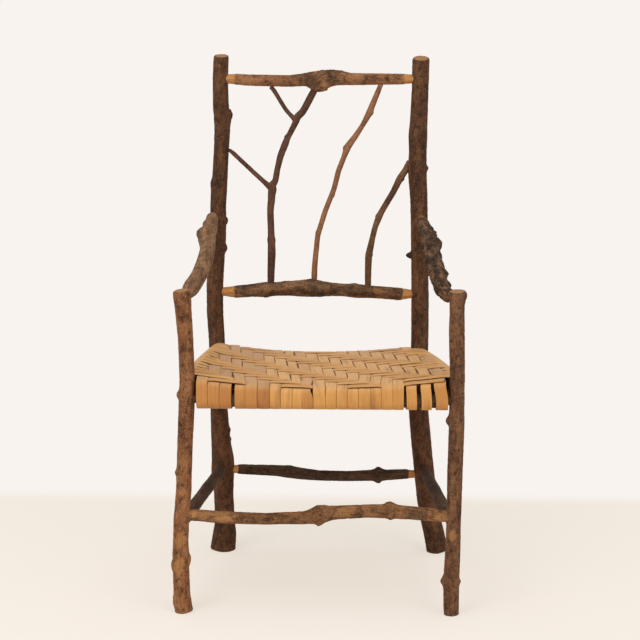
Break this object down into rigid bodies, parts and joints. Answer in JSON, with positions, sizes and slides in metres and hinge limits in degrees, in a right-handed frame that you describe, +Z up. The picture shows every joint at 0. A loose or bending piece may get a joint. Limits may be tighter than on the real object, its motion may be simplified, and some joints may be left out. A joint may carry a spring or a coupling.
{
  "type": "twig armchair",
  "caption": "Rustic armchair of tenoned bark-on branches, with a forked-twig back and a twill-woven splint seat.",
  "frame": {"origin": "on the floor, under the centre of the chair's overall box", "axes": "+Z up, -Y towards the front of the seat, +X towards the viewer's right of someone who faces the chair"},
  "size_m": [0.5408, 0.4829, 1.0265],
  "materials": {
    "dark_bark": "matte bark, whittled pale at the tenons",
    "red_bark": "matte bark, whittled pale at the tenons",
    "brown_bark": "matte bark, whittled pale at the tenons",
    "crest_bark": "matte bark, whittled pale at the tenons",
    "grey_arm_bark": "matte bark, whittled pale at the tenons",
    "black_arm_bark": "matte bark, whittled pale at the tenons",
    "twig_bark": "matte bark, whittled pale at the tenons",
    "light_twig_bark": "matte bark, whittled pale at the tenons",
    "mid_twig_bark": "matte bark, whittled pale at the tenons",
    "stretcher_bark": "matte bark, whittled pale at the tenons",
    "dark_stretcher_bark": "matte bark, whittled pale at the tenons",
    "seat_rail_bark": "matte bark, whittled pale at the tenons",
    "warp_splint": "satin wood splint",
    "weft_splint": "dry wood splint",
    "nail_iron": "dull dark iron"
  },
  "bodies": {
    "root": {"back_post_left": "dark_bark", "back_post_right": "dark_bark", "front_post_left": "red_bark", "front_post_right": "brown_bark", "arm_left": "grey_arm_bark", "arm_right": "black_arm_bark", "crest_rail": "crest_bark", "lower_back_rail": "brown_bark", "forked_twig": "twig_bark", "middle_twig": "light_twig_bark", "side_twig": "mid_twig_bark", "front_stretcher": "stretcher_bark", "back_stretcher": "dark_stretcher_bark", "side_stretcher_left": "dark_stretcher_bark", "side_stretcher_right": "dark_stretcher_bark", "front_seat_rail": "seat_rail_bark", "back_seat_rail": "seat_rail_bark", "side_seat_rail_left": "seat_rail_bark", "side_seat_rail_right": "seat_rail_bark", "seat_warp_splints": "warp_splint", "seat_weft_splints": "weft_splint", "joint_nails": "nail_iron"}
  },
  "joints": []
}
